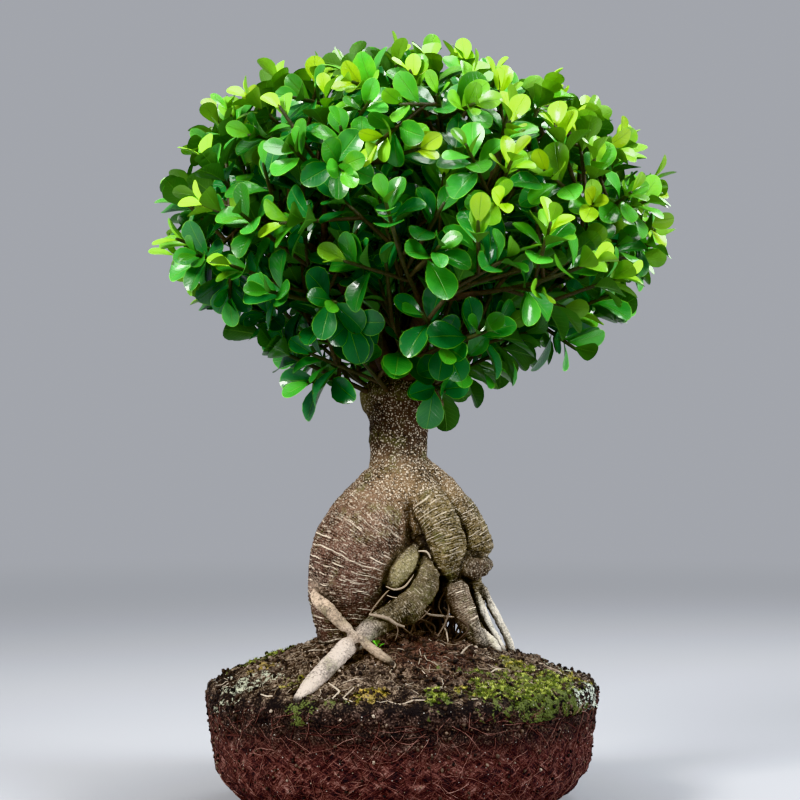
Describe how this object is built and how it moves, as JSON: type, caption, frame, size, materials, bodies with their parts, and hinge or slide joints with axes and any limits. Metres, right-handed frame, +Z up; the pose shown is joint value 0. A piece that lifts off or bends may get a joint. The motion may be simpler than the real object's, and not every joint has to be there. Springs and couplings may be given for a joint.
{
  "type": "ginseng ficus",
  "caption": "Ginseng ficus on its bare round soil ball: a swollen trunk standing on aerial roots, spreading limbs and a dense rounded crown of glossy oval leaves.",
  "frame": {"origin": "centre of the soil ball's flat underside", "axes": "+Z up along the trunk, -Y towards the front that the picture shows, +X to its right"},
  "size_m": [0.3822, 0.3497, 0.5808],
  "materials": {
    "bark": "matte",
    "soil": "matte",
    "leaf": "gloss",
    "young_leaf": "satin"
  },
  "bodies": {
    "root": {"leafy_spray_01": "leaf", "leafy_spray_02": "leaf", "leafy_spray_03": "leaf", "leafy_spray_04": "leaf", "leafy_spray_05": "leaf", "leafy_spray_06": "leaf", "leafy_spray_07": "leaf", "leafy_spray_08": "leaf", "leafy_spray_09": "leaf", "leafy_spray_10": "leaf", "leafy_spray_11": "leaf", "leafy_spray_12": "leaf", "leafy_spray_13": "leaf", "leafy_spray_14": "leaf", "leafy_spray_15": "leaf", "leafy_spray_16": "leaf", "leafy_spray_17": "leaf", "leafy_spray_18": "leaf", "leafy_spray_19": "leaf", "leafy_spray_20": "leaf", "leafy_spray_21": "leaf", "leafy_spray_22": "leaf", "leafy_spray_23": "leaf", "leafy_spray_24": "leaf", "leafy_spray_25": "leaf", "leafy_spray_26": "leaf", "leafy_spray_27": "leaf", "leafy_spray_28": "leaf", "leafy_spray_29": "leaf", "leafy_spray_30": "leaf", "soil_ball": "soil", "trunk_and_roots": "bark", "young_tip_01": "young_leaf", "young_tip_03": "young_leaf", "young_tip_05": "young_leaf", "young_tip_07": "young_leaf", "young_tip_09": "young_leaf", "young_tip_11": "young_leaf", "young_tip_13": "young_leaf", "young_tip_15": "young_leaf", "young_tip_17": "young_leaf"}
  },
  "joints": []
}
